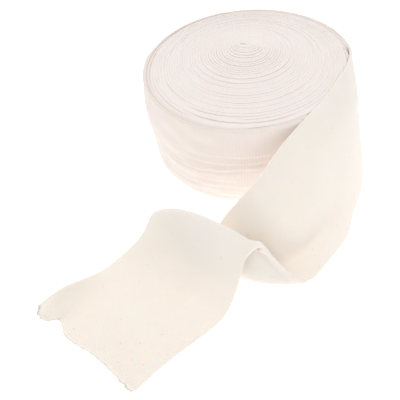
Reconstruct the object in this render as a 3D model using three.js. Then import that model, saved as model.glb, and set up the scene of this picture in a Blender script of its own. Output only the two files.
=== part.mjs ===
// Tubular bandage roll: a knitted tube, pressed flat to a double layer and wound into a roll that
// lies on its side face. The outer turn comes off at the right, drops to the floor, folds back over
// itself in a soft Z and ends flat, with its left edge curled up.
// Millimetres, +Z up. The origin is on the floor under the middle of the roll; -Y faces the viewer.

import * as THREE from 'three';

// Driving sizes
const WIDTH = 75.3;             // width of the flattened tube, and so the height of the roll
const ROLL_RADIUS = 84.2;       // outer radius where the last turn leaves
const TURN_PITCH = 2.15;        // thickness of one double layer, wound
const SHEET_THICKNESS = 2.2;    // thickness of the loose double layer
const GAP = 0.35;               // clearance between the roll and its loose turn
const LEAVE_ANGLE = -72;        // degrees, where the top edge leaves the roll
const LOOSE_ANGLE = 95;         // degrees, where the last turn begins to stand away
const CENTRE_SHIFT = { x: 2, y: 13 };   // the winding's middle has crept back and to the right

const HALF_SHEET = SHEET_THICKNESS / 2;
const CREAM = 0xf6ebe1;
const SMOOTHING = 0.5;          // slope of a smoothed row, as a part of its neighbours' difference

// Fineness of the two solids
const ROLL_STEPS = 72;          // steps round the roll
const ROW_STEPS = 3;            // steps along the cloth from one row to the next
const ACROSS_STEPS = 12;        // steps across the cloth

const radians = (degrees) => degrees * Math.PI / 180;

const clamp = (value, low, high) => Math.min(high, Math.max(low, value));

function smoothStep(from, to, value) {
  const t = clamp((value - from) / (to - from), 0, 1);
  return t * t * (3 - 2 * t);
}

// The turns run clockwise from above and their radius grows by one pitch in a full turn.
function turnRadius(angle) {
  const travelled = ((LEAVE_ANGLE - angle) % 360 + 360) % 360;
  return ROLL_RADIUS - TURN_PITCH * (1 - travelled / 360);
}

// Outline of the wound roll, from the middle of its flat foot to the middle of its top.
// inset is measured in from the outer turn; the low creases are edges of turns that show through.
// part, where it is given, is a distance from the winding's middle, as a part of the roll's radius.
const ROLL_OUTLINE = [
  { part: 0.00, z: 0 },
  { part: 0.50, z: 0 },
  { part: 0.88, z: 0 },
  { inset: 1.8, z: 0 },
  { inset: 0.8, z: 1.0 },
  { inset: 0.6, z: 6.0 },
  { inset: 1.1, z: 7.2 },
  { inset: 0.4, z: 8.6 },
  { inset: 0.3, z: 14.6 },
  { inset: 0.8, z: 16.0 },
  { inset: 0.1, z: 17.4 },
  { inset: 0.0, z: 30 },
  { inset: 0.4, z: 46 },
  { inset: 0.2, z: 62 },
  { inset: 0.0, z: 71 },
  { inset: 0.4, z: 74.2 },
  { inset: 1.8, z: 75.3 },
  { inset: 3.8, z: 75.0 },
  { inset: 5.4, z: 73.2 },
  { inset: 6.2, z: 70.8 },
  { inset: 7.2, z: 73.0 },
  { inset: 9.2, z: 73.6 },
  { inset: 10.6, z: 72.0 },
  { inset: 11.4, z: 70.2 },
  { inset: 12.8, z: 72.2 },
  { part: 0.76, z: 72.2 },
  { part: 0.62, z: 71.8 },
  { part: 0.45, z: 72.6 },
  { part: 0.30, z: 74.8 },
  { part: 0.18, z: 77.2 },
  { part: 0.08, z: 79.2 },
  { part: 0.00, z: 80.0 },
];

const TOP_START = 16;           // row of ROLL_OUTLINE where the top begins

// How far the roll is drawn in from its turns' even spiral, under the loose turn and beside it
const SLACK_ROWS = [
  { angle: -110, slack: 0 },
  { angle: -72, slack: 0.8 },
  { angle: -36, slack: 2.2 },
  { angle: 0, slack: 3.0 },
  { angle: 30, slack: 3.2 },
  { angle: 60, slack: 2.0 },
  { angle: 78, slack: 0.7 },
  { angle: 95, slack: 0 },
];

function slackAt(angle) {
  const next = SLACK_ROWS.findIndex((row) => row.angle >= angle);
  if (next < 1) {
    return 0;
  }
  const from = SLACK_ROWS[next - 1];
  const to = SLACK_ROWS[next];
  return from.slack + (to.slack - from.slack) * smoothStep(from.angle, to.angle, angle);
}

// Where the loose turn lies against the roll, the roll ends one turn further in.
function rollRadius(angle) {
  const covered = angle < LOOSE_ANGLE && angle > LEAVE_ANGLE;
  const turned = angle > 180 ? angle - 360 : angle;
  return turnRadius(angle) - slackAt(turned) - (covered ? SHEET_THICKNESS + GAP : 0);
}

function rollPoint(row, index, angle) {
  const outer = rollRadius(angle);
  const radius = row.part === undefined ? outer - row.inset : ROLL_RADIUS * row.part;
  // The middle is shifted on the top only, and fades out towards the rim
  const shift = index < TOP_START ? 0 : 1 - radius / outer;
  return new THREE.Vector3(
    radius * Math.cos(radians(angle)) + CENTRE_SHIFT.x * shift,
    radius * Math.sin(radians(angle)) + CENTRE_SHIFT.y * shift,
    row.z,
  );
}

// Angles round the roll, with a close pair at each of the two places where a turn begins
function rollAngles() {
  const step = 360 / ROLL_STEPS;
  const sharp = 0.4;
  const angles = [];
  for (let i = 0; i < ROLL_STEPS; i += 1) {
    const angle = LEAVE_ANGLE + i * step;
    if (Math.abs(angle - LOOSE_ANGLE) > step / 2) {
      angles.push(angle);
    }
  }
  angles.push(LEAVE_ANGLE + sharp, LOOSE_ANGLE - sharp, LOOSE_ANGLE);
  return angles.sort((a, b) => a - b);
}

function geometryFrom(points, triangles) {
  const geometry = new THREE.BufferGeometry();
  const positions = points.flatMap((point) => [point.x, point.y, point.z]);
  geometry.setAttribute('position', new THREE.Float32BufferAttribute(positions, 3));
  geometry.setIndex(triangles);
  return geometry;
}

function makeRoll() {
  const angles = rollAngles();
  const rings = ROLL_OUTLINE.length - 2;
  const points = [rollPoint(ROLL_OUTLINE[0], 0, 0)];
  for (let row = 1; row <= rings; row += 1) {
    angles.forEach((angle) => points.push(rollPoint(ROLL_OUTLINE[row], row, angle)));
  }
  const last = ROLL_OUTLINE.length - 1;
  points.push(rollPoint(ROLL_OUTLINE[last], last, 0));

  const count = angles.length;
  const at = (ring, i) => 1 + ring * count + (i % count);
  const triangles = [];
  for (let i = 0; i < count; i += 1) {
    triangles.push(0, at(0, i + 1), at(0, i));
    for (let ring = 0; ring < rings - 1; ring += 1) {
      triangles.push(at(ring, i), at(ring, i + 1), at(ring + 1, i + 1));
      triangles.push(at(ring, i), at(ring + 1, i + 1), at(ring + 1, i));
    }
    triangles.push(at(rings - 1, i), at(rings - 1, i + 1), points.length - 1);
  }
  return geometryFrom(points, triangles);
}

// Rows of the loose turn while it still goes round the roll. Each row is a straight line across
// the cloth, from its foot on the floor to its top edge. footOut and topOut say how far these two
// stand out from the even spiral.
const WRAPPED_ROWS = [
  { topAngle: 94.5, footAngle: 94.5, topOut: 0.0, footOut: 0.0 },
  { topAngle: 78, footAngle: 78, topOut: 0.0, footOut: 0.0 },
  { topAngle: 60, footAngle: 60, topOut: -0.3, footOut: 0.3 },
  { topAngle: 40, footAngle: 40, topOut: -0.8, footOut: 1.6 },
  { topAngle: 20, footAngle: 20, topOut: -1.3, footOut: 4.6 },
  { topAngle: 0, footAngle: 0, topOut: -1.4, footOut: 9.6 },
  { topAngle: -18, footAngle: -18, topOut: -1.2, footOut: 15.2 },
  { topAngle: -36, footAngle: -34, topOut: -0.8, footOut: 21.5 },
  { topAngle: -54, footAngle: -47, topOut: -0.4, footOut: 30.5 },
  { topAngle: -71, footAngle: -59, topOut: -0.2, footOut: 40.6 },
];

// Rows of the cloth off the roll, along its creases. foot is the end at the viewer's right and top
// the other one. arch lifts the middle, belly pushes it towards the viewer, trough sinks a groove
// along the foot's side, and curl rolls the top edge up, in degrees.
const LOOSE_ROWS = [
  { foot: [50, -125.5, 1.1], top: [11.5, -88, 70], arch: 0, belly: 0, trough: 4, curl: 0 },
  { foot: [40.5, -136, 1.1], top: [0.8, -95, 61.5], arch: 1, belly: 0, trough: 6, curl: 0 },
  { foot: [31, -144.6, 1.1], top: [-11, -102.5, 49.5], arch: 3, belly: 0, trough: 7, curl: 0 },
  { foot: [24, -150.6, 1.1], top: [-23, -106.5, 37.5], arch: 5, belly: 0, trough: 7, curl: 0 },
  { foot: [18.8, -154.8, 1.1], top: [-37, -109.5, 21], arch: 5, belly: 0, trough: 5, curl: 0 },
  { foot: [16.6, -156.6, 1.1], top: [-49, -119, 6], arch: 3, belly: 1, trough: 2, curl: 0 },
  { foot: [14.2, -158.2, 1.1], top: [-58, -131, 1.3], arch: 0, belly: 4, trough: 0, curl: 0 },
  { foot: [11.0, -159.4, 3.0], top: [-61, -134, 3.2], arch: 1, belly: 6, trough: 0, curl: 0 },
  { foot: [7.6, -157.6, 5.4], top: [-63, -132.5, 6.5], arch: 3, belly: 5, trough: 0, curl: 0 },
  { foot: [0.6, -152.6, 9.0], top: [-69, -124, 14], arch: 6, belly: 2, trough: 0, curl: 0 },
  { foot: [-8.0, -145, 17], top: [-75, -114, 20.5], arch: 8, belly: 0, trough: 0, curl: 0 },
  { foot: [-15.5, -140.5, 27.5], top: [-78.5, -106, 23.5], arch: 9, belly: 0, trough: 0, curl: 0 },
  { foot: [-19.0, -141, 32.2], top: [-82, -99.5, 26.5], arch: 11.5, belly: 0, trough: 0, curl: 0 },
  { foot: [-22.5, -147, 31], top: [-88.2, -99.2, 24], arch: 13.5, belly: 0, trough: 0, curl: 0 },
  { foot: [-27, -151.5, 26.5], top: [-92.5, -101.5, 18], arch: 12, belly: 0, trough: 0, curl: 0 },
  { foot: [-34.5, -156.5, 18], top: [-97.5, -106, 12], arch: 8, belly: 0, trough: 0, curl: 0 },
  { foot: [-40.5, -163.5, 8.5], top: [-105, -111.5, 8], arch: 3, belly: 0, trough: 0, curl: 0 },
  { foot: [-46.5, -172, 2.8], top: [-116, -119, 4.4], arch: 0, belly: 0, trough: 0, curl: 5 },
  { foot: [-55, -180.5, 1.1], top: [-128, -128, 1.8], arch: 0, belly: 0, trough: 0, curl: 20 },
  { foot: [-70, -189.5, 1.1], top: [-143.5, -135.5, 1.1], arch: 0, belly: 0, trough: 0, curl: 45 },
  { foot: [-90, -201.5, 1.1], top: [-159, -143.5, 1.1], arch: 0, belly: 0, trough: 0, curl: 75 },
  { foot: [-109.6, -215.6, 1.1], top: [-173, -152.5, 1.1], arch: 0, belly: 0, trough: 0, curl: 100 },
];

const TROUGH = { middle: 0.34, half: 0.22 };    // parts of the cloth's width, from the foot
const CURL_LENGTH = 20;                         // width of the cloth that the curl takes up

// The cut end is not quite straight: reach is how far it goes past a straight cut
const CUT_ROWS = [
  { across: 0.00, reach: 0 },
  { across: 0.12, reach: -1.5 },
  { across: 0.30, reach: 1 },
  { across: 0.48, reach: 0 },
  { across: 0.64, reach: 1.5 },
  { across: 0.76, reach: -2 },
  { across: 0.84, reach: -2.5 },
  { across: 0.92, reach: 5 },
  { across: 1.00, reach: 4 },
];

function cutReach(across) {
  const next = Math.max(CUT_ROWS.findIndex((row) => row.across >= across), 1);
  const from = CUT_ROWS[next - 1];
  const to = CUT_ROWS[next];
  return from.reach + (to.reach - from.reach) * smoothStep(from.across, to.across, across);
}

function wrappedRow(row) {
  const reach = (angle, out) => turnRadius(angle) - HALF_SHEET + out;
  const topReach = reach(row.topAngle, row.topOut);
  const footReach = reach(row.footAngle, row.footOut);
  const place = (angle, radius, z) => [
    radius * Math.cos(radians(angle)),
    radius * Math.sin(radians(angle)),
    z,
  ];
  return {
    foot: place(row.footAngle, footReach, 0),
    top: place(row.topAngle, topReach, WIDTH),
    arch: 0,
    belly: 0,
    trough: 0,
    curl: 0,
  };
}

// One number of the rows, smoothed along the cloth
function alongRows(values, place) {
  const span = clamp(Math.floor(place), 0, values.length - 2);
  const t = place - span;
  const from = values[span];
  const to = values[span + 1];
  const before = values[Math.max(span - 1, 0)];
  const after = values[Math.min(span + 2, values.length - 1)];
  const slopeFrom = SMOOTHING * (to - before);
  const slopeTo = SMOOTHING * (after - from);
  return from
    + t * slopeFrom
    + t * t * (3 * (to - from) - 2 * slopeFrom - slopeTo)
    + t * t * t * (2 * (from - to) + slopeFrom + slopeTo);
}

const rows = [...WRAPPED_ROWS.map(wrappedRow), ...LOOSE_ROWS];

// Middle surface of the cloth: place counts rows, across goes from the foot, 0, to the top, 1
function clothPoint(place, across) {
  const column = (read) => alongRows(rows.map(read), place);
  const foot = new THREE.Vector3(...[0, 1, 2].map((axis) => column((row) => row.foot[axis])));
  const top = new THREE.Vector3(...[0, 1, 2].map((axis) => column((row) => row.top[axis])));
  const point = foot.clone().lerp(top, across);

  const hump = 4 * across * (1 - across);
  const archShape = hump * (0.55 + 0.9 * across);       // highest towards the top edge
  const bellyShape = hump * (1.45 - 0.9 * across);      // fullest towards the foot
  const dip = Math.exp(-(((across - TROUGH.middle) / TROUGH.half) ** 2)) * smoothStep(0, 0.2, across);
  const side = top.clone().sub(foot);
  const width = side.length();
  const outward = new THREE.Vector3(-side.y, side.x, 0).normalize();
  if (outward.y > 0) {
    outward.negate();
  }
  const trough = column((row) => row.trough) * dip;
  point.z += column((row) => row.arch) * archShape - 0.9 * trough;
  point.addScaledVector(outward, column((row) => row.belly) * bellyShape - 0.4 * trough);

  const cut = cutReach(across) * smoothStep(rows.length - 2, rows.length - 1, place);
  point.addScaledVector(new THREE.Vector3(side.y, -side.x, 0).normalize(), -cut);

  // The curl bends the last stretch of the width upwards in an even arc
  const curl = radians(Math.max(column((row) => row.curl), 0));
  const beyond = across * width - (width - CURL_LENGTH);
  if (curl > 0 && beyond > 0) {
    const radius = CURL_LENGTH / curl;
    const turned = beyond / radius;
    point.addScaledVector(side.normalize(), radius * Math.sin(turned) - beyond);
    point.z += radius * (1 - Math.cos(turned));
  }
  const standing = across === 0 && place < WRAPPED_ROWS.length;
  point.z = Math.max(point.z, standing ? 0 : HALF_SHEET);
  return point;
}

function clothNormal(place, across) {
  const step = 0.02;
  const last = rows.length - 1;
  const ahead = clothPoint(Math.min(place + step, last), across);
  const behind = clothPoint(Math.max(place - step, 0), across);
  const up = clothPoint(place, Math.min(across + step, 1));
  const down = clothPoint(place, Math.max(across - step, 0));
  return ahead.sub(behind).cross(up.sub(down)).normalize();
}

function makeLooseEnd() {
  const alongCount = (rows.length - 1) * ROW_STEPS + 1;
  const acrossCount = ACROSS_STEPS + 1;
  const sides = [1, -1].map((side) => {
    const points = [];
    for (let i = 0; i < alongCount; i += 1) {
      for (let j = 0; j < acrossCount; j += 1) {
        const place = i / ROW_STEPS;
        const across = j / ACROSS_STEPS;
        const point = clothPoint(place, across);
        point.addScaledVector(clothNormal(place, across), side * HALF_SHEET);
        point.z = Math.max(point.z, 0);
        points.push(point);
      }
    }
    return points;
  });
  const half = alongCount * acrossCount;
  const at = (side, i, j) => side * half + i * acrossCount + j;
  const triangles = [];
  const quad = (a, b, c, d) => triangles.push(a, b, c, a, c, d);
  for (let i = 0; i < alongCount - 1; i += 1) {
    for (let j = 0; j < acrossCount - 1; j += 1) {
      quad(at(0, i, j), at(0, i + 1, j), at(0, i + 1, j + 1), at(0, i, j + 1));
      quad(at(1, i, j), at(1, i, j + 1), at(1, i + 1, j + 1), at(1, i + 1, j));
    }
    quad(at(0, i, 0), at(1, i, 0), at(1, i + 1, 0), at(0, i + 1, 0));
    const rim = ACROSS_STEPS;
    quad(at(0, i, rim), at(0, i + 1, rim), at(1, i + 1, rim), at(1, i, rim));
  }
  const end = alongCount - 1;
  for (let j = 0; j < acrossCount - 1; j += 1) {
    quad(at(0, 0, j), at(0, 0, j + 1), at(1, 0, j + 1), at(1, 0, j));
    quad(at(0, end, j), at(1, end, j), at(1, end, j + 1), at(0, end, j + 1));
  }
  return geometryFrom([...sides[0], ...sides[1]], triangles);
}

function knitMaterial() {
  return new THREE.MeshStandardMaterial({ color: CREAM, roughness: 0.95, metalness: 0 });
}

function namedMesh(name, geometry) {
  const mesh = new THREE.Mesh(geometry, knitMaterial());
  mesh.name = name;
  return mesh;
}

const bandage = new THREE.Group();
bandage.add(namedMesh('wound_roll', makeRoll()));
bandage.add(namedMesh('loose_end', makeLooseEnd()));

export default bandage;
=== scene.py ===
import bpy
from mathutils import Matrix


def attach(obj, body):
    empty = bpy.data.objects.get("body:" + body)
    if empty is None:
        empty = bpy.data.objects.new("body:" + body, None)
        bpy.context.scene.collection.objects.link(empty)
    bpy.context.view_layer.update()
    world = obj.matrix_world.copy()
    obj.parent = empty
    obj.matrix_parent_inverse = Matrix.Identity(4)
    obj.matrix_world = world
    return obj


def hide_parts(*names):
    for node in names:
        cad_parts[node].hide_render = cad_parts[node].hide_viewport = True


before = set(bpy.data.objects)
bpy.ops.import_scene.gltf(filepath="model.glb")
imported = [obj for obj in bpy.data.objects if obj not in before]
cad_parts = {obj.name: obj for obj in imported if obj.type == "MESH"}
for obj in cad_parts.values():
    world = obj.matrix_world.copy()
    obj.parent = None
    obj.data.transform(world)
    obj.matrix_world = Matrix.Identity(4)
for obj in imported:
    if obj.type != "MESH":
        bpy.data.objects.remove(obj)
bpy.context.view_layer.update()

# Tubular bandage roll: a knitted tube, pressed flat to a double layer and wound into a roll that
# lies on its side face, with its loose end folded back over itself and laid flat.
# Scene lengths are metres. Tables and shapes are worked out in millimetres and scaled by MM.

import math
from typing import NamedTuple

import bpy
import numpy as np
from mathutils import Matrix, Vector

MM = 0.001

# Driving sizes, as the solids have them
WIDTH = 75.3
ROLL_RADIUS = 84.2
TURN_PITCH = 2.15
SHEET_THICKNESS = 2.2
LEAVE_ANGLE = -72.0
LOOSE_ANGLE = 94.5
HALF_SHEET = SHEET_THICKNESS / 2
LOOSE_START = (LOOSE_ANGLE - LEAVE_ANGLE) / 360

# Knit
COURSE = 1.05           # distance from one rib across the tube to the next
WALE = 0.95             # width of one column of stitches

# Camera
CAMERA_PLACE = (-51.77, -308.13, 283.41)
CAMERA_DOWN = 50.159
CAMERA_ROLL = -8.0
LENS = 40.5
SENSOR = 36.0


def make_camera():
    data = bpy.data.cameras.new("camera")
    data.lens = LENS
    data.sensor_width = SENSOR
    camera = bpy.data.objects.new("camera", data)
    bpy.context.scene.collection.objects.link(camera)
    down = math.radians(CAMERA_DOWN)
    roll = math.radians(CAMERA_ROLL)
    ahead = np.array([0.0, math.cos(down), -math.sin(down)])
    level_right = np.array([1.0, 0.0, 0.0])
    level_up = np.array([0.0, math.sin(down), math.cos(down)])
    right = math.cos(roll) * level_right + math.sin(roll) * level_up
    up = math.cos(roll) * level_up - math.sin(roll) * level_right
    matrix = Matrix.Identity(4)
    for axis in range(3):
        matrix[axis][0] = right[axis]
        matrix[axis][1] = up[axis]
        matrix[axis][2] = -ahead[axis]
        matrix[axis][3] = CAMERA_PLACE[axis] * MM
    camera.matrix_world = matrix
    bpy.context.scene.camera = camera


make_camera()


# Small helpers

def smooth_step(start, end, value):
    t = np.clip((value - start) / (end - start), 0, 1)
    return t * t * (3 - 2 * t)


def bump(value, middle, half):
    """A soft hump of height 1 at middle, nearly gone at two halves from it."""
    return np.exp(-(((value - middle) / half) ** 2))


def ripple(seed, x, y, long_wave, short_wave, waves=9):
    """An uneven smooth field over x and y, mostly between -1 and 1: seeded sine waves."""
    rng = np.random.default_rng(seed)
    total = np.zeros(np.broadcast(x, y).shape)
    for _ in range(waves):
        length = math.exp(rng.uniform(math.log(short_wave), math.log(long_wave)))
        turn = rng.uniform(0, math.pi)
        phase = rng.uniform(0, 2 * math.pi)
        along = x * math.cos(turn) + y * math.sin(turn)
        total += np.sin(2 * math.pi * along / length + phase)
    return total / math.sqrt(waves)


def along_rows(values, place):
    """Numbers of the rows, one row for each section, smoothed along the cloth."""
    values = np.asarray(values, float)
    last = len(values) - 1
    span = np.clip(np.floor(place).astype(int), 0, last - 1)
    t = (place - span).reshape((-1,) + (1,) * (values.ndim - 1))
    start, end = values[span], values[span + 1]
    slope_start = 0.5 * (end - values[np.maximum(span - 1, 0)])
    slope_end = 0.5 * (values[np.minimum(span + 2, last)] - start)
    return (
        start
        + t * slope_start
        + t**2 * (3 * (end - start) - 2 * slope_start - slope_end)
        + t**3 * (2 * (start - end) + slope_start + slope_end)
    )


def new_mesh(name, points, faces, uv, material):
    """A mesh object from points in millimetres. uv holds one pair for each corner of each face."""
    mesh = bpy.data.meshes.new(name)
    mesh.from_pydata((np.asarray(points) * MM).tolist(), [], [list(f) for f in faces])
    if uv is not None:
        layer = mesh.uv_layers.new(name="cloth")
        layer.data.foreach_set("uv", (np.asarray(uv, np.float32) * MM).ravel())
    mesh.shade_smooth()
    mesh.materials.append(material)
    made = bpy.data.objects.new(name, mesh)
    bpy.context.scene.collection.objects.link(made)
    return made


def tube_faces(rows, around, first=0):
    """Quads of a tube of rows, each with the same number of points around, as index and row pairs."""
    i, j = np.meshgrid(np.arange(rows - 1), np.arange(around), indexing="ij")
    i, j = i.ravel(), j.ravel()
    after = (j + 1) % around
    quads = np.stack([
        i * around + j,
        i * around + after,
        (i + 1) * around + after,
        (i + 1) * around + j,
    ], axis=1) + first
    corners = np.stack([
        np.stack([i, j], 1),
        np.stack([i, j + 1], 1),
        np.stack([i + 1, j + 1], 1),
        np.stack([i + 1, j], 1),
    ], axis=1)
    return quads, corners


def tube_uv(corners, along, girth):
    """uv of a tube's quads: along grows from row to row and girth, with its closing value, around."""
    return np.stack([along[corners[..., 0]], girth[corners[..., 1]]], axis=-1)


def round_lengths(loop):
    """Lengths from the first point round a closed loop, back to the first point."""
    step = np.linalg.norm(np.roll(loop, -1, axis=0) - loop, axis=1)
    return np.concatenate([[0], np.cumsum(step)])


# Materials

def node(tree, kind, **inputs):
    made = tree.nodes.new(kind)
    for name, value in inputs.items():
        made.inputs[name.replace("_", " ")].default_value = value
    return made


def maths(tree, operation, first, second=None, third=None):
    made = tree.nodes.new("ShaderNodeMath")
    made.operation = operation
    for socket, value in zip(made.inputs, (first, second, third)):
        if value is None:
            continue
        if isinstance(value, (int, float)):
            socket.default_value = value
        else:
            tree.links.new(value, socket)
    return made.outputs[0]


def mix_colour(tree, share, first, second, blend="MIX"):
    made = tree.nodes.new("ShaderNodeMix")
    made.data_type = "RGBA"
    made.blend_type = blend
    for socket, value in ((made.inputs[0], share), (made.inputs[6], first), (made.inputs[7], second)):
        if isinstance(value, (int, float, tuple)):
            socket.default_value = value
        else:
            tree.links.new(value, socket)
    return made.outputs[2]


def map_range(tree, value, from_low, from_high, to_low, to_high):
    made = node(tree, "ShaderNodeMapRange")
    made.inputs["From Min"].default_value = from_low
    made.inputs["From Max"].default_value = from_high
    made.inputs["To Min"].default_value = to_low
    made.inputs["To Max"].default_value = to_high
    tree.links.new(value, made.inputs["Value"])
    return made.outputs["Result"]


def noise_value(tree, vector, scale, detail=2.0, rough=0.5):
    made = node(tree, "ShaderNodeTexNoise", Scale=scale, Detail=detail, Roughness=rough)
    tree.links.new(vector, made.inputs["Vector"])
    return made.outputs["Fac"]


# Noise of the knit: scales for each metre, and how far it shifts the stitches, in stitches
WANDER_SCALE, WANDER_ALONG, WANDER_ACROSS = 260.0, 0.5, 0.4
DRIFT_SCALE, DRIFT_ALONG = 45.0, 1.2
FUZZ_SCALE, FUZZ_HEIGHT = 1500.0, 0.55
MOTTLE_SCALE = 28.0
SPECK_SCALE, SPECK_STRENGTH = 420.0, 0.35

LEG_SLANT = 0.9
RIB_SHARE, LEG_SHARE = 0.65, 0.35
RELIEF_DEPTH = 0.35
MOTTLE_TINT = (0.985, 0.975, 0.96, 1.0)
SPECK_COLOUR = (0.62, 0.46, 0.30, 1.0)
GLOW_RADIUS = (1.0, 0.8, 0.62)      # red light goes further into the cloth than blue


def half_wave(tree, operation, turn):
    """A wave between 0 and 1."""
    return maths(tree, "MULTIPLY_ADD", maths(tree, operation, turn), 0.5, 0.5)


def stitches(tree, uv):
    """Relief of the rows of stitches, from 0 in the gaps to 1 on the yarn."""
    # The yarn wanders a little, so the stitches are uneven
    wander = noise_value(tree, uv, WANDER_SCALE, 2.0)
    drift = noise_value(tree, uv, DRIFT_SCALE, 1.0)
    split = tree.nodes.new("ShaderNodeSeparateXYZ")
    tree.links.new(uv, split.inputs[0])
    along = maths(tree, "MULTIPLY", split.outputs["X"], 1 / (COURSE * MM))
    across = maths(tree, "MULTIPLY", split.outputs["Y"], 1 / (WALE * MM))
    along = maths(tree, "MULTIPLY_ADD", wander, WANDER_ALONG, along)
    along = maths(tree, "MULTIPLY_ADD", drift, DRIFT_ALONG, along)
    across = maths(tree, "MULTIPLY_ADD", wander, WANDER_ACROSS, across)

    # Each stitch is a V: two slanting legs in a column
    column = maths(tree, "PINGPONG", across, 0.5)
    slanted = maths(tree, "MULTIPLY_ADD", column, LEG_SLANT, along)
    rib = half_wave(tree, "SINE", maths(tree, "MULTIPLY", slanted, 2 * math.pi))
    leg = half_wave(tree, "COSINE", maths(tree, "MULTIPLY", across, 4 * math.pi))
    rib_part = maths(tree, "MULTIPLY", rib, RIB_SHARE)
    leg_part = maths(tree, "MULTIPLY", leg, LEG_SHARE)
    return maths(tree, "ADD", rib_part, leg_part)


def yarn_colour(tree, uv, stitch, light, gap_shade):
    """The gaps between stitches are painted a little darker as shade, and the undyed yarn varies over
    the piece.
    """
    # Painted shade: the gaps between stitches get the darker colour
    shade = map_range(tree, stitch, 0.05, 0.75, 0.0, 1.0)
    colour = mix_colour(tree, shade, (*gap_shade, 1.0), (*light, 1.0))
    place = tree.nodes.new("ShaderNodeTexCoord").outputs["Object"]
    mottle = map_range(tree, noise_value(tree, place, MOTTLE_SCALE, 3.0), 0.3, 0.7, 0.0, 1.0)
    tinted = mix_colour(tree, 1.0, colour, MOTTLE_TINT, "MULTIPLY")
    colour = mix_colour(tree, mottle, colour, tinted)
    speck_noise = noise_value(tree, uv, SPECK_SCALE, 1.0)
    speck = map_range(tree, speck_noise, 0.735, 0.78, 0.0, SPECK_STRENGTH)
    return mix_colour(tree, speck, colour, SPECK_COLOUR)


def knit_material(name, light, gap_shade, ribs, glow, glow_depth):
    """Undyed cotton rib knit. light is the yarn, and the second colour is painted shade for the gaps
    between stitches.

    ribs is the strength of the relief, glow how much light passes into the cloth and glow_depth
    how far, in millimetres.
    """
    material = bpy.data.materials.new(name)
    material.use_nodes = True
    tree = material.node_tree
    shader = tree.nodes["Principled BSDF"]
    uv_map = tree.nodes.new("ShaderNodeUVMap")
    uv_map.uv_map = "cloth"
    uv = uv_map.outputs["UV"]

    stitch = stitches(tree, uv)
    fuzz = noise_value(tree, uv, FUZZ_SCALE, 3.0, 0.7)
    relief = node(tree, "ShaderNodeBump", Strength=ribs, Distance=RELIEF_DEPTH * MM)
    tree.links.new(maths(tree, "MULTIPLY_ADD", fuzz, FUZZ_HEIGHT, stitch), relief.inputs["Height"])
    tree.links.new(relief.outputs["Normal"], shader.inputs["Normal"])
    tree.links.new(yarn_colour(tree, uv, stitch, light, gap_shade), shader.inputs["Base Color"])

    shader.inputs["Roughness"].default_value = 0.92
    shader.inputs["Specular IOR Level"].default_value = 0.25
    shader.inputs["Sheen Weight"].default_value = 0.2
    shader.inputs["Sheen Roughness"].default_value = 0.5
    shader.inputs["Subsurface Weight"].default_value = glow
    shader.inputs["Subsurface Radius"].default_value = GLOW_RADIUS
    shader.inputs["Subsurface Scale"].default_value = glow_depth * MM
    return material


# In each knit below, the second colour is the painted shade in the gaps between stitches
ROLL_KNIT = knit_material("roll_knit", (0.965, 0.893, 0.87), (0.925, 0.83, 0.79), 0.3, 0.1, 3.0)
# The outer wall's copy of the roll's knit is painted darker, as the shade on the wall
SHADED_WALL_KNIT = knit_material("shaded_wall_knit", (0.90, 0.82, 0.78), (0.86, 0.765, 0.71), 0.33, 0.3, 3.0)
LOOSE_KNIT = knit_material("loose_knit", (0.935, 0.885, 0.835), (0.905, 0.835, 0.77), 0.3, 0.35, 3.0)
# The threads' copy of the knit is painted lighter than the cloth, as painted light for threads lying
# in shade
LIT_THREAD = knit_material("thread", (0.98, 0.94, 0.90), (0.95, 0.89, 0.83), 0.1, 0.0, 1.0)


# Wound turns

# The winding is not even: it is pressed tight behind and lies slack in front, so its middle
# sits back from the roll's: turns in from the leaving point, and the middle's x and y there.
MIDDLE_TURNS = [0, 1, 2, 3, 5, 8, 12, 16, 20, 24, 32, 39]
MIDDLE_X = [0, 0, 0.1, 0.2, 0.4, 0.7, 1.2, 1.7, 2.2, 2.8, 3.2, 1.6]
MIDDLE_Y = [0, 0, 0.9, 1.9, 4.0, 7.0, 10.8, 14.2, 16.8, 18.2, 18.4, 20.0]

# Height of the turns' top edges by distance from the winding's middle, as a part of the roll's
# radius
TOP_PART = [0.00, 0.08, 0.18, 0.30, 0.45, 0.62, 0.76, 0.86, 0.92, 0.97, 1.00]
TOP_HEIGHT = [79.6, 79.2, 77.4, 75.0, 73.2, 72.6, 72.8, 73.6, 74.6, 75.4, 75.3]

# How far the turns under the loose turn are drawn in, or pushed out where it is below 0, by angle
SLACK_ANGLE = [-110, -72, -36, 0, 30, 60, 78, 95]
SLACK = [0, 0.3, 0.3, -0.6, -0.9, -0.5, 0.0, 0.1]
SLACK_TURNS = 9.0       # turns over which the slack is taken up again

# Valleys in the top face, where the turns part. Columns: angle, radius, depth, parting.
LONG_VALLEY = [
    (-150, 73.5, 0.0, 0.0),
    (-120, 73.9, 2.0, 0.9),
    (-90, 73.0, 2.4, 1.1),
    (-70, 72.0, 2.4, 1.1),
    (-45, 72.8, 2.0, 0.8),
    (-30, 74.8, 1.6, 0.4),
    (-15, 77.8, 1.4, 0.2),
    (0, 80.4, 1.0, 0.1),
    (30, 81.4, 0.7, 0.1),
    (60, 82.0, 0.7, 0.1),
    (95, 82.2, 0.8, 0.2),
    (120, 81.6, 1.1, 0.3),
    (150, 80.2, 1.8, 0.5),
    (180, 78.4, 1.8, 0.6),
    (200, 77.9, 2.0, 0.7),
    (220, 77.1, 2.0, 0.8),
    (245, 77.2, 2.0, 0.8),
    (270, 79.6, 1.6, 0.6),
    (295, 80.4, 1.2, 0.4),
    (330, 80.6, 0.0, 0.0),
]
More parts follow.
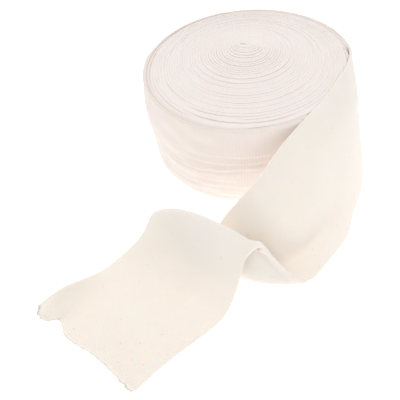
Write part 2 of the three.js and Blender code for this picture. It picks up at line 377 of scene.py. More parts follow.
SHORT_VALLEY = [
    (110, 69.6, 0.0, 0.0),
    (150, 68.4, 0.9, 0.4),
    (180, 68.2, 1.2, 0.6),
    (210, 67.4, 1.2, 0.6),
    (240, 67.8, 1.2, 0.6),
    (262, 69.0, 1.0, 0.4),
    (285, 70.0, 0.0, 0.0),
]
VALLEY_SLOPE = 2.4      # distance over which the turns inside a valley rise again
VALLEY_OUTER_SLOPE = 1.1    # and over which they fall towards it from outside
VALLEY_EDGE = 0.7       # half of the distance over which the parting sets in
PARTING_FADES = 16.0    # distance over which the parting is taken up by the turns inside

# Passes of the valleys round the roll: table, lowest angle, and the angles over which the pass
# comes in and goes out. The long valley runs round more than once.
VALLEY_PASSES = [
    (LONG_VALLEY, -150, (-150, -120), (60, 120)),
    (LONG_VALLEY, -30, (60, 120), (300, 329)),
    (SHORT_VALLEY, 110, None, None),
]

# Ring where the first turns sit apart: radius, half width, depth, parting
CORE_STEP = (14.5, 1.2, 0.5, 0.4)

# The folded start presses the innermost turns flat: how much, how far out, and its direction
START_FLAT, START_REACH, START_ANGLE = 0.62, 8.0, -24

INNER_TURNS = 37.4      # turns from the leaving point to the folded start
BUILT_APART = 2.2       # turns of the outer, finely made part
CLEARANCE = 0.01
THINNEST, THICKEST = 0.25, 1.75     # half of the tightest and of the slackest turn
UNEVEN_PLACE = 0.18     # how far the turns wander in and out
UNEVEN_TOP = 0.22       # how far their top edges wander up and down
UNEVEN_BOTTOM = 0.10    # and their bottom edges
JOINT_FADES = 0.12      # turns over which the thickness at the joint eases off


def turn_angle(back):
    """Degrees round the roll, back turns before the point where the top edge leaves it."""
    return LEAVE_ANGLE + 360 * back


def wrap(angle, low):
    """The same direction, at least low and less than a full turn above it."""
    return (angle - low) % 360 + low


def slack_at(back):
    angle = wrap(turn_angle(back), -180)
    covered = smooth_step(0.85, 1.0, back) * np.clip(1 - (back - 1) / SLACK_TURNS, 0, 1)
    return np.interp(angle, SLACK_ANGLE, SLACK) * covered


def valleys_at(back, radius):
    """How much the valleys lower a turn's top edge, and how much they draw the turn in."""
    lowered = np.zeros(back.shape)
    drawn_in = np.zeros(back.shape)
    for table, low, comes_in, goes_out in VALLEY_PASSES:
        angles, places, depths, partings = np.array(table).T
        angle = wrap(turn_angle(back), low)
        inside = np.interp(angle, angles, places) - radius
        depth = np.interp(angle, angles, depths, 0, 0)
        parting = np.interp(angle, angles, partings, 0, 0)
        own = 1.0
        if comes_in:
            own = smooth_step(*comes_in, angle) * (1 - smooth_step(*goes_out, angle))
        edge = smooth_step(-VALLEY_EDGE, VALLEY_EDGE, inside)
        outside = np.exp(np.minimum(inside, 0) / VALLEY_OUTER_SLOPE)
        lowered += own * depth * outside * np.exp(-np.maximum(inside, 0) / VALLEY_SLOPE)
        drawn_in += own * parting * edge * np.exp(-np.maximum(inside, 0) / PARTING_FADES)
    return lowered, drawn_in


def core_step(radius):
    """The same two measures for the ring round the middle."""
    middle, half, depth, parting = CORE_STEP
    within = 1 - smooth_step(middle - half, middle + half, radius)
    return depth * bump(radius, middle, half), parting * within


def turn_place(back):
    """Middle line of the wound cloth, its radius and how much its top edge is lowered."""
    radius = ROLL_RADIUS - HALF_SHEET - TURN_PITCH * back - slack_at(back)
    angle = np.radians(turn_angle(back))
    middle = np.stack([
        np.interp(back, MIDDLE_TURNS, MIDDLE_X),
        np.interp(back, MIDDLE_TURNS, MIDDLE_Y),
    ], axis=-1)
    way = np.stack([np.cos(angle), np.sin(angle)], axis=-1)
    from_axis = np.linalg.norm(middle + way * (radius[..., None] + HALF_SHEET), axis=-1)
    lowered, drawn_in = valleys_at(back, from_axis)
    uneven = UNEVEN_PLACE * ripple(11, back * 9.0, back * 0.7, 9.0, 2.0) * smooth_step(1.0, 4.0, back)
    core_lowered, core_drawn_in = core_step(radius)
    lowered = lowered + core_lowered
    radius = np.maximum(radius - drawn_in - core_drawn_in + uneven, 0.5)
    offset = way * radius[..., None]

    flat = START_FLAT * np.exp(-((radius / START_REACH) ** 2))
    cosine = math.cos(math.radians(START_ANGLE))
    sine = math.sin(math.radians(START_ANGLE))
    long_way = (offset[..., 0] * cosine + offset[..., 1] * sine) * (1 + flat)
    short_way = (offset[..., 1] * cosine - offset[..., 0] * sine) * (1 - flat)
    place = middle + np.stack([
        long_way * cosine - short_way * sine,
        long_way * sine + short_way * cosine,
    ], axis=-1)
    return place, radius, lowered


def loose_turn_out(back):
    """How far the loose turn's top edge stands away from the turn under it."""
    angles, _, out, _, _ = np.array(WRAPPED_ROWS, float).T
    angle = turn_angle(back) - 360
    return np.maximum(np.interp(angle, angles[::-1], out[::-1], 0, 0), 0)


def turn_line(back):
    """As turn_place, with the way outward and the thickness out and in from the line."""
    line, radius, lowered = turn_place(back)
    outer = np.linalg.norm(turn_place(np.maximum(back - 1, 0))[0] - line, axis=-1)
    inner = np.linalg.norm(turn_place(back + 1)[0] - line, axis=-1)
    # Beside the loose turn there is its full thickness to clear, and it stands a little away
    outer = np.where(back < 1.5, 2 * outer - SHEET_THICKNESS, outer)
    half_out = np.clip(outer / 2 + loose_turn_out(back) - CLEARANCE, THINNEST, THICKEST)
    half_out = np.where(back < 1.0, HALF_SHEET, half_out)
    half_in = np.clip(inner / 2 - CLEARANCE, THINNEST, THICKEST)
    near_joint = 1 - smooth_step(LOOSE_START, LOOSE_START + JOINT_FADES, back)
    half_in = half_in * (1 - near_joint) + HALF_SHEET * near_joint
    half_in = np.where(back > INNER_TURNS - 1, HALF_SHEET, half_in)
    step = 0.0008
    ahead = turn_place(back - step)[0] - turn_place(back + step)[0]
    ahead /= np.linalg.norm(ahead, axis=-1, keepdims=True)
    outward = np.stack([-ahead[:, 1], ahead[:, 0]], axis=-1)
    return line, outward, half_out, half_in, radius, lowered


# Rows of the loose turn while it still goes round the roll: angles at the top edge and at the foot,
# how far both stand out, and how far the top edge bends in over the turns under it, in degrees
WRAPPED_ROWS = [
    (94.5, 94.5, 0.0, 0.0, 0),
    (78, 78, 0.3, 0.0, 0),
    (60, 60, 0.8, 0.6, 0),
    (40, 40, 1.3, 2.0, 0),
    (20, 20, 1.4, 5.0, 0),
    (0, 0, 1.1, 9.8, 5),
    (-18, -18, -0.2, 15.4, 33),
    (-36, -34, -0.8, 21.5, 58),
    (-54, -47, -0.4, 30.5, 46),
    (-71, -59, -0.2, 40.6, 12),
]
LEAN_LENGTH = 24.0      # width of the bent part, in from the top edge
LEAN_PRESS = 0.75       # how far the turns under it press into its thickness


def turn_radius(angle):
    """Outside of the outermost turn."""
    return ROLL_RADIUS - TURN_PITCH * (1 - ((LEAVE_ANGLE - angle) % 360) / 360)


def lean_taken_up(bend):
    """Height that the bent part loses."""
    return LEAN_LENGTH * (1 - np.sin(bend) / bend)


def under_loose_turn(line, half_out):
    """Greatest height of a turn's top edge where the loose turn leans over it."""
    top_angles, _, top_out, _, leans = np.array(WRAPPED_ROWS, float).T
    angle = np.degrees(np.arctan2(line[:, 1], line[:, 0]))
    place = np.interp(angle, top_angles[::-1], np.arange(len(top_angles))[::-1])
    bend = np.radians(np.maximum(along_rows(leans, place), 0.01))
    middle = turn_radius(angle) - HALF_SHEET + along_rows(top_out, place)
    arc = LEAN_LENGTH / bend
    away = HALF_SHEET - LEAN_PRESS
    reach = np.linalg.norm(line, axis=1) + half_out
    cosine = (reach - middle + arc) / (arc - away)
    turned = np.arccos(np.clip(cosine, -1, 1))
    height = WIDTH + lean_taken_up(bend) - LEAN_LENGTH + (arc - away) * np.sin(turned)
    covered = (turned < bend) & (angle > top_angles[-1]) & (angle < top_angles[0]) & (bend > 0.03)
    return np.where(covered, height, 2 * WIDTH)


def top_height(back, radius, lowered, limit):
    part = np.clip((radius + HALF_SHEET) / ROLL_RADIUS, 0, 1)
    height = np.interp(part, TOP_PART, TOP_HEIGHT)
    uneven = UNEVEN_TOP * ripple(21, back * 8.0, back * 1.3, 14.0, 1.6, 14)
    height = height + uneven * smooth_step(0.6, 2.5, back)
    height = height - lowered * smooth_step(0.7, 1.0, back)
    return np.where(back > 0.95, np.minimum(height, limit), height)


# Creases round the outer wall. Points: angle, height, depth.
WALL_CREASES = [
    [
        (-178, 22, 0.6), (-159, 27, 1.5), (-144, 29, 1.6), (-135, 28.4, 1.5),
        (-125, 29.4, 1.3), (-117, 32, 0.8), (-103, 36, 0.6), (-80, 38, 0.5),
    ],
    [
        (150, 20, 0.6), (175, 19, 0.8), (-168, 17, 1.0), (-152, 18.5, 0.8),
        (-135, 20, 0.5), (-108, 23, 0.4),
    ],
    [
        (160, 6, 0.7), (-175, 6.5, 1.1), (-167, 7.3, 1.3), (-157, 9.2, 1.4), (-147, 10.2, 1.3),
        (-130, 13.1, 1.2), (-121, 14.8, 1.0), (-111, 15.7, 0.8), (-85, 16.5, 0.6),
    ],
    [(-150, 4.5, 0.7), (-136, 6.1, 1.0), (-125, 6.4, 1.0), (-113, 6.9, 0.8), (-85, 7.0, 0.6)],
    [(-128, 47, 0.3), (-115, 48, 0.5), (-103, 49, 0.5), (-80, 50, 0.4)],
    [(-135, 37.5, 0.4), (-115, 40, 0.6), (-103, 42.5, 0.6), (-80, 44, 0.5)],
    [(-155, 36, 0.3), (-140, 39, 0.5), (-125, 40, 0.3)],
    [(95, 8, 0.6), (120, 7.5, 0.8), (150, 9, 0.5)],
    [(95, 17, 0.5), (125, 18, 0.7), (160, 15, 0.4)],
    [(95, 31, 0.4), (130, 29, 0.6), (165, 31, 0.4)],
]
CREASE_HALF = 0.9
CREASE_SHARE = 0.75     # share of the depths above that the relaxed cloth keeps
CREASE_RAISED = 0.5     # how proud the cloth stands above a crease, as a share of its depth
WALL_UNEVEN = 0.35

# The wall swells on the left: angle, half, height, half, outward
SWELL = (188, 30, 48, 22, 3.2)


def wall_relief(angle, z):
    """Soft unevenness of the outer wall, in millimetres outward."""
    relief = WALL_UNEVEN * ripple(31, angle * 1.45, z * 2.2, 120.0, 26.0)
    middle, half, height, height_half, outward = SWELL
    relief = relief + outward * bump(wrap(angle, 0), middle, half) * bump(z, height, height_half)
    for index, points in enumerate(WALL_CREASES):
        angles, heights, depths = np.array(points, float).T
        angles = np.where(angles < angles[0], angles + 360, angles)
        here = wrap(angle, angles[0] - 30)
        height = np.interp(here, angles, heights)
        ends = smooth_step(angles[0] - 12, angles[0] + 8, here)
        ends = ends * (1 - smooth_step(angles[-1] - 8, angles[-1] + 12, here))
        depth = CREASE_SHARE * ends * np.interp(here, angles, depths)
        height = height + 0.5 * np.sin(np.radians(here * 5.3 + 77 * index))
        # A pressed line with the cloth standing a little proud above it
        relief = relief - depth * bump(z, height, CREASE_HALF)
        above = height + 2.4 * CREASE_HALF
        relief = relief + CREASE_RAISED * depth * bump(z, above, 1.5 * CREASE_HALF)
    return relief


FOLD_POINTS = 6
FOLD_SHARPENS = 0.72    # how much sharper the folds of the tightly wound turns are


def fold_arc():
    """Round the folded edge: shares of the half thickness outward, and of the fold's height."""
    angles = np.radians(np.linspace(0, 180, FOLD_POINTS + 1))[1:-1]
    return np.cos(angles), np.sin(angles)


def bottom_height(back):
    uneven = UNEVEN_BOTTOM + UNEVEN_BOTTOM * ripple(23, back * 7.0, back * 0.9, 12.0, 2.0)
    return np.maximum(uneven, 0) * smooth_step(0.5, 1.5, back)


def turn_section(back, half, top, bottom, wall_heights):
    """Round each turn's upright section: distance outward from its middle, and height.

    The outer wall goes up, then come the top fold, the inner wall down and the bottom fold.
    """
    fold = np.minimum(half, HALF_SHEET) * (1 - FOLD_SHARPENS * smooth_step(0.9, 2.6, back))
    half, top, bottom, fold = (values[:, None] for values in (half, top, bottom, fold))
    share, up = fold_arc()

    wall = wall_heights[None, :] * (top - bottom - 2 * fold) + (bottom + fold)
    shown = (1 - smooth_step(0.97, 1.05, back)) * smooth_step(LOOSE_START, LOOSE_START + 0.03, back)
    relief = wall_relief(turn_angle(back)[:, None], wall) * shown[:, None]
    top_relief = relief[:, -1:] * (share + 1) / 2
    low_relief = relief[:, :1] * (1 - share) / 2
    inner = np.concatenate([top - fold, (top + bottom) / 2, bottom + fold], axis=1)
    parts = [
        (half + relief, wall),
        (half * share + top_relief, (top - fold) + fold * up),
        (-half + 0 * inner, inner),
        (-half * share + low_relief, (bottom + fold) - fold * up),
    ]
    return np.concatenate([np.stack(part, axis=-1) for part in parts], axis=1)


def ribbon(name, back, wall_heights, material):
    """Wound cloth as one closed body, from the turns back[0] out to in."""
    line, outward, half_out, half_in, radius, lowered = turn_line(back)
    top = top_height(back, radius, lowered, under_loose_turn(line, half_out))
    half = (half_out + half_in) / 2
    line = line + outward * ((half_out - half_in) / 2)[:, None]
    section = turn_section(back, half, top, bottom_height(back), wall_heights)
    rows, around = section.shape[:2]
    xy = line[:, None, :] + outward[:, None, :] * section[..., :1]
    points = np.concatenate([xy, section[..., 1:]], axis=-1)
    points[..., 2] = np.maximum(points[..., 2], 0)

    length = np.concatenate([[0], np.cumsum(np.linalg.norm(np.diff(line, axis=0), axis=1))])
    girth = round_lengths(section[rows // 2])
    quads, corners = tube_faces(rows, around)
    faces = quads[:, ::-1].tolist()
    uv = tube_uv(corners, length, girth)[:, ::-1].reshape(-1, 2).tolist()
    for row, turned in ((0, False), (rows - 1, True)):
        order = list(range(around))[::-1 if turned else 1]
        faces.append([row * around + j for j in order])
        uv += [[length[row], girth[j]] for j in order]
    return new_mesh(name, points.reshape(-1, 3), faces, uv, material)


def even_steps(start, end, spacing):
    """Places along the winding, about spacing millimetres apart."""
    places = [start]
    while places[-1] < end:
        radius = max(ROLL_RADIUS - TURN_PITCH * places[-1], 3.0)
        places.append(places[-1] + spacing / (2 * math.pi * radius))
    places[-1] = end
    return np.array(places)


# Distance between the sections along the winding, and shares of the wall's height where it bends
OUTER_SPACING, OUTER_HEIGHTS = 2.2, np.linspace(0, 1, 56)
WOUND_SPACING, WOUND_HEIGHTS = 2.4, np.array([0.0, 0.5, 0.86, 1.0])


def make_outer_turns():
    back = even_steps(LOOSE_START, BUILT_APART, OUTER_SPACING)
    # The outer turns get the knit painted darker as the shade on the wall
    return ribbon("outer_turns", back, OUTER_HEIGHTS, SHADED_WALL_KNIT)


def make_wound_turns():
    back = even_steps(BUILT_APART, INNER_TURNS, WOUND_SPACING)
    return ribbon("wound_turns", back, WOUND_HEIGHTS, ROLL_KNIT)


# Loose end

class Row(NamedTuple):
    """One crease line across the cloth, from its foot to its top edge."""
    foot: tuple
    top: tuple
    arch: float = 0.0
    belly: float = 0.0
    trough: float = 0.0
    curl: float = 0.0
    lean: float = 0.0


LOOSE_ROWS = [
    Row((53, -126, 1.1), (11.5, -88, 70), trough=4),
    Row((43, -136.5, 1.1), (0.8, -95, 61.5), arch=1, trough=6),
    Row((33.5, -145, 1.1), (-11, -102.5, 49.5), arch=3, trough=7),
    Row((27, -151, 1.1), (-23, -106.5, 37.5), arch=5, trough=7),
    Row((22, -155.2, 1.1), (-37, -109.5, 21), arch=5, trough=5),
    Row((19, -157.3, 1.1), (-49, -119, 6), arch=3, belly=1, trough=2),
    Row((15, -158.6, 1.1), (-58, -131, 1.3), belly=4),
    Row((11.0, -159.4, 3.0), (-61, -134, 3.2), arch=1, belly=6),
    Row((7.6, -157.6, 5.4), (-63, -132.5, 6.5), arch=3, belly=5),
    Row((0.6, -152.6, 9.0), (-69, -124, 14), arch=6, belly=2),
    Row((-8.0, -145, 17), (-75, -114, 20.5), arch=8),
    Row((-12, -142.4, 21.6), (-78.5, -106, 23.5), arch=9),
    Row((-16, -141.2, 25), (-82, -99.5, 26.5), arch=11.5),
    Row((-21.1, -143.1, 24.5), (-88.2, -99.2, 24), arch=13.5),
    Row((-27.4, -148.2, 21.5), (-92.5, -101.5, 18), arch=12),
    Row((-31.5, -155.7, 15.5), (-97.5, -106, 12), arch=8),
    Row((-35.6, -162.6, 8.5), (-105, -111.5, 8), arch=3),
    Row((-42.2, -172, 2.8), (-116, -119, 4.4), curl=5),
    Row((-50.7, -180.5, 1.1), (-128, -128, 1.8), curl=24),
    Row((-66, -190, 1.1), (-143.5, -135.5, 1.1), curl=54),
    Row((-86.5, -202, 1.1), (-161, -141.5, 1.1), curl=88),
    Row((-106.8, -216, 1.1), (-177, -148.5, 1.1), curl=116),
]

TROUGH_MIDDLE, TROUGH_HALF = 0.30, 0.12     # parts of the cloth's width, from the foot
TROUGH_DEPTH = 1.4
CURL_LENGTH = 20.0      # width of the cloth that curls up along the top edge
CURL_GROWS = 12.0       # by how much more is curled at the cut than three rows before it

# The uneven cut: parts of the width from the foot, and how far the cut reaches on there
CUT_ACROSS = [0.00, 0.12, 0.30, 0.48, 0.64, 0.76, 0.84, 0.92, 1.00]
CUT_REACH = [2.5, 2.0, 0.5, 1.5, 3.0, -2.5, 4.0, 4.5, 0]


def wrapped_row(top_angle, foot_angle, top_out, foot_out, lean):
    def place(angle, out, z):
        radius = turn_radius(angle) - HALF_SHEET + out
        turn = math.radians(angle)
        return (radius * math.cos(turn), radius * math.sin(turn), z)
    bend = math.radians(max(lean, 0.01))
    top = place(top_angle, top_out, WIDTH + lean_taken_up(bend))
    return Row(place(foot_angle, foot_out, 0.0), top, lean=lean)


ROWS = [wrapped_row(*row) for row in WRAPPED_ROWS] + LOOSE_ROWS
LAST_ROW = len(ROWS) - 1


def cut_reach(across):
    """How far the cut reaches past the last row."""
    place = np.interp(across, CUT_ACROSS, np.arange(len(CUT_ACROSS)))
    return along_rows(CUT_REACH, place.ravel()).reshape(across.shape)


def cloth_points(place, across):
    """Middle surface of the cloth at rows place, by across from the foot, 0, to the top, 1."""
    def column(read):
        return along_rows([read(row) for row in ROWS], place)

    foot = column(lambda row: row.foot)[:, None, :]
    top = column(lambda row: row.top)[:, None, :]
    across = np.broadcast_to(across, (len(place), across.shape[-1]))
    share = across[..., None]
    point = foot + (top - foot) * share
    hump = 4 * across * (1 - across)
    side = (top - foot)[:, 0, :]
    width = np.linalg.norm(side, axis=1)
    outward = np.stack([-side[:, 1], side[:, 0], 0 * side[:, 0]], axis=1)
    outward /= np.maximum(np.linalg.norm(outward, axis=1, keepdims=True), 1e-6)
    outward *= np.where(outward[:, 1:2] > 0, -1, 1)

    dip = bump(across, TROUGH_MIDDLE, TROUGH_HALF) * smooth_step(0, 0.2, across)
    trough = TROUGH_DEPTH * column(lambda row: row.trough)[:, None] * dip
    belly = column(lambda row: row.belly)[:, None] * hump * (1.45 - 0.9 * across) - 0.4 * trough
    arch = column(lambda row: row.arch)[:, None] * hump * (0.55 + 0.9 * across)
    point = point + outward[:, None, :] * belly[..., None]
    point[..., 2] += arch - 0.9 * trough

    backward = np.stack([side[:, 1], -side[:, 0], 0 * side[:, 0]], axis=1)
    backward /= np.maximum(np.linalg.norm(backward, axis=1, keepdims=True), 1e-6)
    cut = cut_reach(across) * smooth_step(LAST_ROW - 1, LAST_ROW, place)[:, None]
    point -= backward[:, None, :] * cut[..., None]

    curl = np.radians(np.maximum(column(lambda row: row.curl), 0.001))[:, None]
    curled = (CURL_LENGTH + CURL_GROWS * smooth_step(LAST_ROW - 3, LAST_ROW, place))[:, None]
    beyond = np.maximum(across * width[:, None] - (width[:, None] - curled), 0)
    radius = curled / curl
    turned = beyond / radius
    inward = radius * np.sin(turned) - beyond
    point += (side / width[:, None])[:, None, :] * inward[..., None]
    point[..., 2] += radius * (1 - np.cos(turned))

    lean = np.radians(np.maximum(column(lambda row: row.lean), 0.001))[:, None]
    beyond = np.maximum(across * width[:, None] - (width[:, None] - LEAN_LENGTH), 0)
    radius = LEAN_LENGTH / lean
    turned = beyond / radius
    point[..., 2] -= beyond - radius * np.sin(turned)
    inward_way = -point[..., :2] / np.linalg.norm(point[..., :2], axis=-1, keepdims=True)
    point[..., :2] += inward_way * (radius * (1 - np.cos(turned)))[..., None]
    return point


def cloth_surface(place, across):
    """Middle surface and its unit normal and sideways direction."""
    step = 0.02
    point = cloth_points(place, across)
    ahead = cloth_points(np.minimum(place + step, LAST_ROW), across)
    behind = cloth_points(np.maximum(place - step, 0), across)
    up = cloth_points(place, np.minimum(across + step, 1))
    down = cloth_points(place, np.maximum(across - step, 0))
    along = ahead - behind
    sideways = up - down
    normal = np.cross(along, sideways)
    normal /= np.linalg.norm(normal, axis=-1, keepdims=True)
    sideways /= np.linalg.norm(sideways, axis=-1, keepdims=True)
    return point, normal, sideways


# The foot edge rolls over on itself from the lower fold up to the crest. Rows: where the lip
# begins, is full, begins to go and is gone.
LIP_ROWS = (16.2, 17.8, 21.8, 24.0)
LIP_SWELL = 2.0
LIP_WIDTH = 0.065       # as a part of the cloth's width
LIP_CREASE = 0.35

# Mouth of the tube at the cut
LAYER = 0.95            # thickness of one layer
MOUTH_OPEN = 1.3        # how far the layers part
MOUTH_UNEVEN = 0.25     # share of it that varies
MOUTH_ROWS = 0.8        # rows over which they part
LOWER_REACH = 3.2       # how much further the lower layer reaches
CURL_BEGINS = 0.72      # part of the cloth's width
RAGGED = 0.42
ROUNDED_RIM = 0.25
ROUND_EDGE = 0.6        # how much further the inside of the tube stops short of its edges
INSET_WIDTH = 82.0      # width of the cloth that the insets are set against
INSIDE_ROWS = [0.0, 0.025, 0.06, 0.1, 0.14]   # loops of the tube's inside, in rows from the cut
PER_ROW = 11
ACROSS_POINTS = 88


def half_thickness(place, across):
    """Half of the sheet, with the rolled lip at its foot and the crease behind the lip."""
    first, full, last, gone = LIP_ROWS
    lip = smooth_step(first, full, place) * (1 - smooth_step(last, gone, place))
    swell = LIP_SWELL * bump(across, LIP_WIDTH / 2, LIP_WIDTH / 1.3)
    crease = LIP_CREASE * bump(across, 1.9 * LIP_WIDTH, LIP_WIDTH / 2.2)
    return HALF_SHEET + lip[:, None] * (swell - crease)


def parted(place, across):
    """How far the upper layer lifts off the lower one near the cut."""
    near = smooth_step(LAST_ROW - MOUTH_ROWS, LAST_ROW, place)[:, None]
    shape = np.sin(np.pi * np.clip(across, 0, 1)) ** 0.7
    shape = shape * (1 - 0.6 * smooth_step(CURL_BEGINS, 0.9, across))
    uneven = 1 - MOUTH_UNEVEN + MOUTH_UNEVEN * ripple(43, across * 80, 0 * across, 40.0, 12.0)
    return MOUTH_OPEN * near * shape * uneven


def cloth_loop(place, top, bottom, inset):
    """Closed loops round the cloth: a face above and one below its middle, with round edges.

    top and bottom read the two faces' distances from the middle at each row and place across.
    inset reads how far the loop stops short of the foot, 0, and of the top edge, 1. Each loop goes
    along the top face, round the top edge, back along the bottom and round the foot.
    """
    low = inset(place, 0.0) / INSET_WIDTH
    high = inset(place, 1.0) / INSET_WIDTH
    t = np.linspace(0, 1, ACROSS_POINTS)[None, :]
    across = low[:, None] + (1 - low - high)[:, None] * t
    point, normal, sideways = cloth_surface(place, across)
    above = top(place, across)
    below = bottom(place, across)
    angles = np.radians(np.linspace(0, 180, FOLD_POINTS + 1))[1:-1]
    parts = [point + normal * above[..., None]]
    for edge, outward, first, second in ((-1, 1, above, below), (0, -1, below, above)):
        away = np.where(angles < math.pi / 2, first[:, edge, None], second[:, edge, None])
        turned = (1 if edge == -1 else -1) * np.cos(angles)
        reach = (first[:, edge] + second[:, edge]) / 2
        parts.append(
            point[:, edge, None, :]
            + normal[:, edge, None, :] * (turned * away)[..., None]
            + outward * sideways[:, edge, None, :] * (reach[:, None] * np.sin(angles))[..., None]
        )
        if edge == -1:
            parts.append((point - normal * below[..., None])[:, ::-1])
    loop = np.concatenate(parts, axis=1)
    side = np.concatenate([
        np.zeros(ACROSS_POINTS),
        np.linspace(0, 1, FOLD_POINTS + 1)[1:-1],
        np.ones(ACROSS_POINTS),
        np.linspace(1, 0, FOLD_POINTS + 1)[1:-1],
    ])
    return loop, side


def cut_way():
    """Level direction onward from the cut, square to it."""
    side = np.array(ROWS[-1].top) - np.array(ROWS[-1].foot)
    onward = -np.array([side[1], -side[0], 0.0])
    return onward / np.linalg.norm(onward)


def reach_at_cut(place, loop, side):
    """Moves the last loops on, the lower layer further than the upper one, both raggedly."""
    girth = round_lengths(loop[-1])[:-1]
    across = np.concatenate([
        np.linspace(0, 1, ACROSS_POINTS),
        np.ones(FOLD_POINTS - 1),
        np.linspace(1, 0, ACROSS_POINTS),
        np.zeros(FOLD_POINTS - 1),
    ])
    ragged = RAGGED * ripple(41, girth, 0 * girth, 11.0, 2.0, 14)
    flat_part = 1 - smooth_step(CURL_BEGINS, 0.86, across)
    reach = LOWER_REACH * (side - 1) * flat_part + ragged
    near = smooth_step(LAST_ROW - 0.3, LAST_ROW, place)
    return loop + cut_way() * (near[:, None] * reach)[..., None]


def closing_faces(first, turned):
    """Faces across a loop of the cloth, between its opposite points."""
    n, m = ACROSS_POINTS, FOLD_POINTS - 1
    opposite = [n + m + (n - 1 - j) for j in range(n)]
    faces = [[j, j + 1, opposite[j + 1], opposite[j]] for j in range(n - 1)]
    faces.append(list(range(n - 1, n + m + 1)))
    faces.append(list(range(2 * n + m - 1, 2 * n + 2 * m)) + [0])
    if turned:
        faces = [face[::-1] for face in faces]
    return [[first + j for j in face] for face in faces], faces


def loose_loops():
    """Loops of the whole cloth: its outside from the joint to the cut, then the mouth's inside."""
    places = np.linspace(0, LAST_ROW, LAST_ROW * PER_ROW + 1)
    outside, side = cloth_loop(
        places,
        lambda place, across: half_thickness(place, across) + parted(place, across),
        half_thickness,
        lambda place, edge: half_thickness(place, np.full((len(place), 1), edge))[:, 0],
    )
    outside = reach_at_cut(places, outside, side)
    back = LAST_ROW - np.array(INSIDE_ROWS)[::-1]
    thin = HALF_SHEET - LAYER
    inside, _ = cloth_loop(
        back,
        lambda place, across: thin + parted(place, across),
        lambda place, across: np.full(np.broadcast(place[:, None], across).shape, thin),
        lambda place, edge: np.full(len(place), HALF_SHEET + ROUND_EDGE),
    )
    inside = reach_at_cut(back, inside, side)[::-1]
    rim = (outside[-1] + inside[0]) / 2 + ROUNDED_RIM * cut_way()
    loop = np.concatenate([outside, rim[None], inside])
    loop[..., 2] = np.maximum(loop[..., 2], 0)
    return loop, len(outside)


def make_loose_end():
    """The loose cloth and the loop of points round its cut."""
    loop, outside_rows = loose_loops()
    rows, around = loop.shape[:2]
    middle = loop[:, ACROSS_POINTS // 2]
    steps = np.linalg.norm(np.diff(middle, axis=0), axis=1)
    length = -np.concatenate([[0], np.cumsum(steps)])
    girth = round_lengths(loop[outside_rows // 3])
    quads, corners = tube_faces(rows, around)
    uv = tube_uv(corners, length, girth)[:, ::-1].reshape(-1, 2).tolist()
    faces = quads[:, ::-1].tolist()
    for row, turned in ((0, False), (rows - 1, True)):
        closing, places = closing_faces(row * around, turned)
        faces += closing
        uv += [[length[row], girth[j]] for face in places for j in face]
    cloth = new_mesh("loose_cloth", loop.reshape(-1, 3), faces, uv, LOOSE_KNIT)
    return cloth, loop[outside_rows - 1]


# Frayed threads at the cut

FRAY_THREADS = 280

# From and to, as parts of the cut, and the share of the threads that come out there
FRAY_PLACES = [
    (0.00, 0.10, 0.16),
    (0.10, 0.74, 0.44),
    (0.74, 0.88, 0.26),
    (0.88, 1.00, 0.14),
]
FRAY_USUAL, FRAY_VARIES = 2.3, 0.45     # usual length, and how it varies
FRAY_LENGTH = (1.3, 5.5)
FRAY_RADIUS = (0.15, 0.24)
FRAY_ROOT = 0.6         # how deep in the cloth a thread starts
FRAY_TAPER = 0.45
FRAY_SIDEWAYS, FRAY_UPWARD = 0.75, 0.28
FRAY_BEND, BEND_AT_STEP = 0.5, 0.55
LYING_HEIGHT = 1.3      # height of a lying thread's middle, in its radii
FRAY_STEPS = 4
THREAD_SIDES = 3


def fray_start(rng, rim):
    """Where a thread starts, the way along the cut there, and whether it is in the lower layer."""
    shares = np.array([share for _, _, share in FRAY_PLACES])
    low, high, _ = FRAY_PLACES[rng.choice(len(FRAY_PLACES), p=shares / shares.sum())]
    index = int(rng.uniform(low, high) * (ACROSS_POINTS - 1))
    lower = rng.random() < 0.5
    if lower:
        index = ACROSS_POINTS + FOLD_POINTS - 1 + (ACROSS_POINTS - 1 - index)
    along = rim[min(index + 1, len(rim) - 1)] - rim[index - 1]
    return rim[index] - FRAY_ROOT * cut_way(), along / np.linalg.norm(along), lower


def thread_points(rng, here, along, lower):
    """Points of a bent thread that grows thinner, THREAD_SIDES at each step, and its length."""
    sideways = along * rng.normal(0, FRAY_SIDEWAYS)
    upward = np.array([0, 0, rng.normal(0.0 if lower else 0.1, FRAY_UPWARD)])
    way = cut_way() + sideways + upward
    way /= np.linalg.norm(way)
    length = math.exp(rng.normal(math.log(FRAY_USUAL), FRAY_VARIES))
    length = min(max(length, FRAY_LENGTH[0]), FRAY_LENGTH[1])
    thick = rng.uniform(*FRAY_RADIUS)
    bend = rng.normal(0, FRAY_BEND, 3) * np.array([1, 1, 0.5])
    points = []
    for step in range(FRAY_STEPS + 1):
        beside = np.cross(way, [0.0, 0.0, 1.0])
        beside /= max(np.linalg.norm(beside), 1e-6)
        above = np.cross(beside, way)
        size = thick * (1 - FRAY_TAPER * step / FRAY_STEPS)
        for corner in range(THREAD_SIDES):
            turn = 2 * math.pi * corner / THREAD_SIDES
            points.append(here + size * (math.cos(turn) * beside + math.sin(turn) * above))
        here = here + way * length / FRAY_STEPS
        here[2] = max(here[2], LYING_HEIGHT * thick)
        way = way + bend * BEND_AT_STEP
        way /= np.linalg.norm(way)
    return points, length


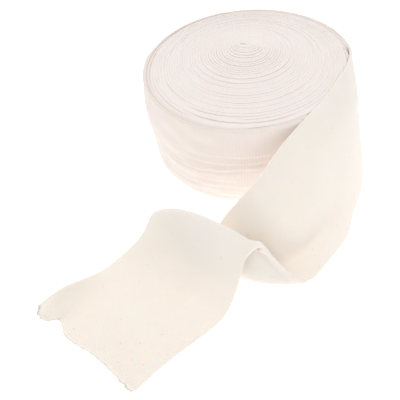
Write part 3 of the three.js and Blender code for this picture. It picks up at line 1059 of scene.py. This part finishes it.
def make_fray(rim):
    """Short bent threads out of the cut, whose points rim holds."""
    rng = np.random.default_rng(71)
    points, faces, uv = [], [], []
    for _ in range(FRAY_THREADS):
        first = len(points)
        thread, length = thread_points(rng, *fray_start(rng, rim))
        points += thread
        quads, corners = tube_faces(FRAY_STEPS + 1, THREAD_SIDES, first)
        faces += quads[:, ::-1].tolist()
        uv += [[u * length / FRAY_STEPS, v * 0.3] for face in corners[:, ::-1] for u, v in face]
        last = len(points) - 1
        faces += [[first, first + 1, first + 2], [last, last - 1, last - 2]]
        uv += [[0.0, 0.1 * k] for k in range(2 * THREAD_SIDES)]
    points = np.array(points)
    points[:, 2] = np.maximum(points[:, 2], 0.02)
    # The threads use the knit painted lighter, as painted light
    return new_mesh("cut_fray", points, faces, uv, LIT_THREAD)


# Stage, in metres

FLOOR_HALF = 6.0
FLOOR_DROP = 0.0003
FLOOR_GREY = 0.35

# The floor's glow: distances from the roll between which it falls off, and its strength at both
GLOW_NEAR, GLOW_FAR = 0.42, 1.1
GLOW_BRIGHT, GLOW_DIM = 1.22, 0.35


def make_stage():
    half = FLOOR_HALF
    corners = [(-half, -half, 0), (half, -half, 0), (half, half, 0), (-half, half, 0)]
    mesh = bpy.data.meshes.new("floor")
    mesh.from_pydata(corners, [], [(0, 1, 2, 3)])
    floor = bpy.data.objects.new("floor", mesh)
    floor.location.z = -FLOOR_DROP
    bpy.context.scene.collection.objects.link(floor)

    material = bpy.data.materials.new("floor")
    material.use_nodes = True
    tree = material.node_tree
    shader = tree.nodes["Principled BSDF"]
    shader.inputs["Base Color"].default_value = (FLOOR_GREY, FLOOR_GREY, FLOOR_GREY, 1)
    shader.inputs["Roughness"].default_value = 1.0
    shader.inputs["Specular IOR Level"].default_value = 0.0
    shader.inputs["Emission Color"].default_value = (1, 1, 1, 1)
    place = tree.nodes.new("ShaderNodeTexCoord")
    away = tree.nodes.new("ShaderNodeVectorMath")
    away.operation = "LENGTH"
    tree.links.new(place.outputs["Object"], away.inputs[0])
    bright = map_range(tree, away.outputs["Value"], GLOW_NEAR, GLOW_FAR, GLOW_BRIGHT, GLOW_DIM)
    tree.links.new(bright, shader.inputs["Emission Strength"])
    mesh.materials.append(material)


# Disc lamps: name, place, the point they shine at, diameter and power in watts
LAMPS = [
    ("overhead", (0.05, 0.35, 1.3), (-0.02, -0.05, 0.0), 1.1, 4.4),
    ("front", (0.15, -1.25, 0.18), (0.0, -0.05, 0.03), 1.0, 1.3),
]
SKY_LOW, SKY_HIGH = 0.52, 0.90      # strength of the sky at the horizon and straight above


def add_lamp(name, place, shines_at, size, power):
    light = bpy.data.lights.new(name, "AREA")
    light.shape = "DISK"
    light.size = size
    light.energy = power
    lamp = bpy.data.objects.new(name, light)
    bpy.context.scene.collection.objects.link(lamp)
    lamp.location = place
    lamp.rotation_mode = "QUATERNION"
    lamp.rotation_quaternion = (Vector(place) - Vector(shines_at)).to_track_quat("Z", "Y")


def make_lights():
    world = bpy.data.worlds.new("studio")
    bpy.context.scene.world = world
    world.use_nodes = True
    tree = world.node_tree
    background = tree.nodes["Background"]
    background.inputs["Color"].default_value = (1.0, 1.0, 1.0, 1)
    direction = tree.nodes.new("ShaderNodeTexCoord")
    split = tree.nodes.new("ShaderNodeSeparateXYZ")
    tree.links.new(direction.outputs["Generated"], split.inputs[0])
    strength = map_range(tree, split.outputs["Z"], 0.0, 1.0, SKY_LOW, SKY_HIGH)
    tree.links.new(strength, background.inputs["Strength"])
    for lamp in LAMPS:
        add_lamp(*lamp)
    bpy.context.scene.view_settings.view_transform = "Standard"


make_stage()
make_lights()

wound_turns = make_wound_turns()
outer_turns = make_outer_turns()
loose_cloth, cut_rim = make_loose_end()
cut_fray = make_fray(cut_rim)

for piece in (wound_turns, outer_turns, loose_cloth, cut_fray):
    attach(piece, "root")
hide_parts("wound_roll")
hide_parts("wound_roll")
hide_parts("loose_end")
